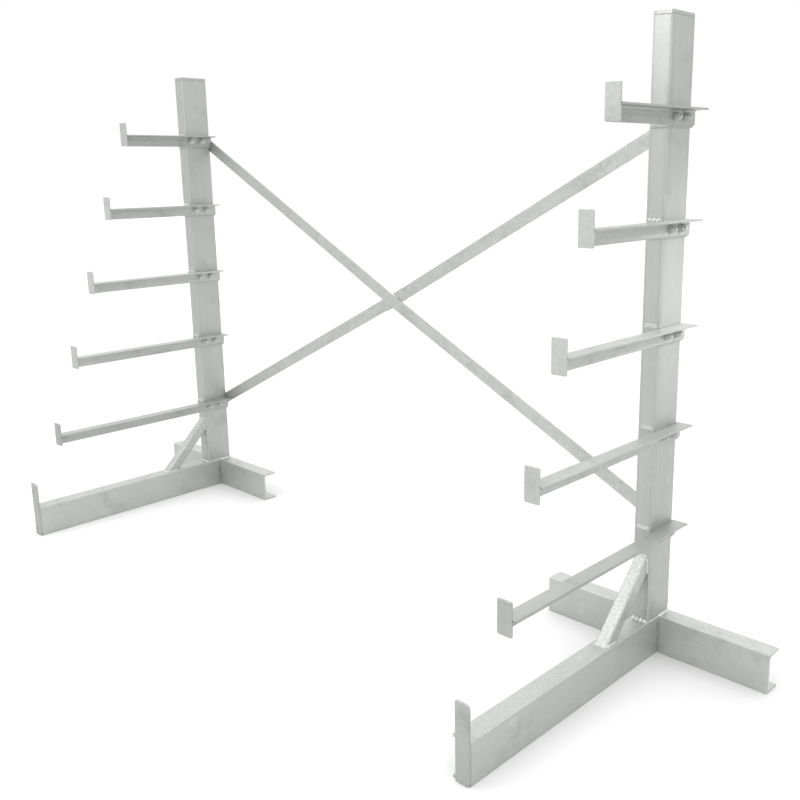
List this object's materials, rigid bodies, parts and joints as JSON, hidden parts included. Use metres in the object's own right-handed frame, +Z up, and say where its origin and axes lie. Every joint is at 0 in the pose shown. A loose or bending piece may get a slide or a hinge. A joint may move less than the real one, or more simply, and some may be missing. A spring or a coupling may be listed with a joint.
{
  "type": "cantilever rack",
  "caption": "Single-sided cantilever storage rack: braced steel uprights on T-shaped channel bases carry level arms with end stops, longer towards the floor.",
  "frame": {"origin": "centre of the footprint box, on the floor", "axes": "+X along the rack from the left to the right upright, -Y the way the arms reach, +Z up"},
  "size_m": [3.11, 0.9486, 1.85],
  "materials": {
    "galvanised_section": "hot-dip galvanised, dull silver grey with faint spangle",
    "galvanised_plate": "hot-dip galvanised plate, dull silver grey",
    "galvanised_bar": "hot-dip galvanised flat bar, dull silver grey",
    "zinc_bolt": "darker zinc-coated fasteners"
  },
  "bodies": {
    "root": {"column_left": "galvanised_section", "column_cap_left": "galvanised_section", "front_leg_left": "galvanised_section", "cross_beam_left": "galvanised_section", "leg_stop_left": "galvanised_plate", "knee_brace_left": "galvanised_section", "arm_left_1": "galvanised_section", "arm_cleat_left_1": "galvanised_plate", "arm_bolt_left_1_front": "zinc_bolt", "arm_bolt_left_1_rear": "zinc_bolt", "arm_left_2": "galvanised_section", "arm_cleat_left_2": "galvanised_plate", "arm_bolt_left_2_front": "zinc_bolt", "arm_bolt_left_2_rear": "zinc_bolt", "arm_left_3": "galvanised_section", "arm_cleat_left_3": "galvanised_plate", "arm_bolt_left_3_front": "zinc_bolt", "arm_bolt_left_3_rear": "zinc_bolt", "arm_left_4": "galvanised_section", "arm_cleat_left_4": "galvanised_plate", "arm_bolt_left_4_front": "zinc_bolt", "arm_bolt_left_4_rear": "zinc_bolt", "arm_left_5": "galvanised_section", "arm_cleat_left_5": "galvanised_plate", "arm_bolt_left_5_front": "zinc_bolt", "arm_bolt_left_5_rear": "zinc_bolt", "column_right": "galvanised_section", "column_cap_right": "galvanised_section", "front_leg_right": "galvanised_section", "cross_beam_right": "galvanised_section", "leg_stop_right": "galvanised_plate", "knee_brace_right": "galvanised_section", "arm_right_1": "galvanised_section", "arm_cleat_right_1": "galvanised_plate", "arm_bolt_right_1_front": "zinc_bolt", "arm_bolt_right_1_rear": "zinc_bolt", "arm_right_2": "galvanised_section", "arm_cleat_right_2": "galvanised_plate", "arm_bolt_right_2_front": "zinc_bolt", "arm_bolt_right_2_rear": "zinc_bolt", "arm_right_3": "galvanised_section", "arm_cleat_right_3": "galvanised_plate", "arm_bolt_right_3_front": "zinc_bolt", "arm_bolt_right_3_rear": "zinc_bolt", "arm_right_4": "galvanised_section", "arm_cleat_right_4": "galvanised_plate", "arm_bolt_right_4_front": "zinc_bolt", "arm_bolt_right_4_rear": "zinc_bolt", "arm_right_5": "galvanised_section", "arm_cleat_right_5": "galvanised_plate", "arm_bolt_right_5_front": "zinc_bolt", "arm_bolt_right_5_rear": "zinc_bolt", "brace_bar_falling": "galvanised_bar", "brace_bar_rising_lower": "galvanised_bar", "brace_bar_rising_upper": "galvanised_bar", "brace_bolt_left_top": "zinc_bolt", "brace_bolt_left_bottom": "zinc_bolt", "brace_bolt_right_top": "zinc_bolt", "brace_bolt_right_bottom": "zinc_bolt"}
  },
  "joints": []
}
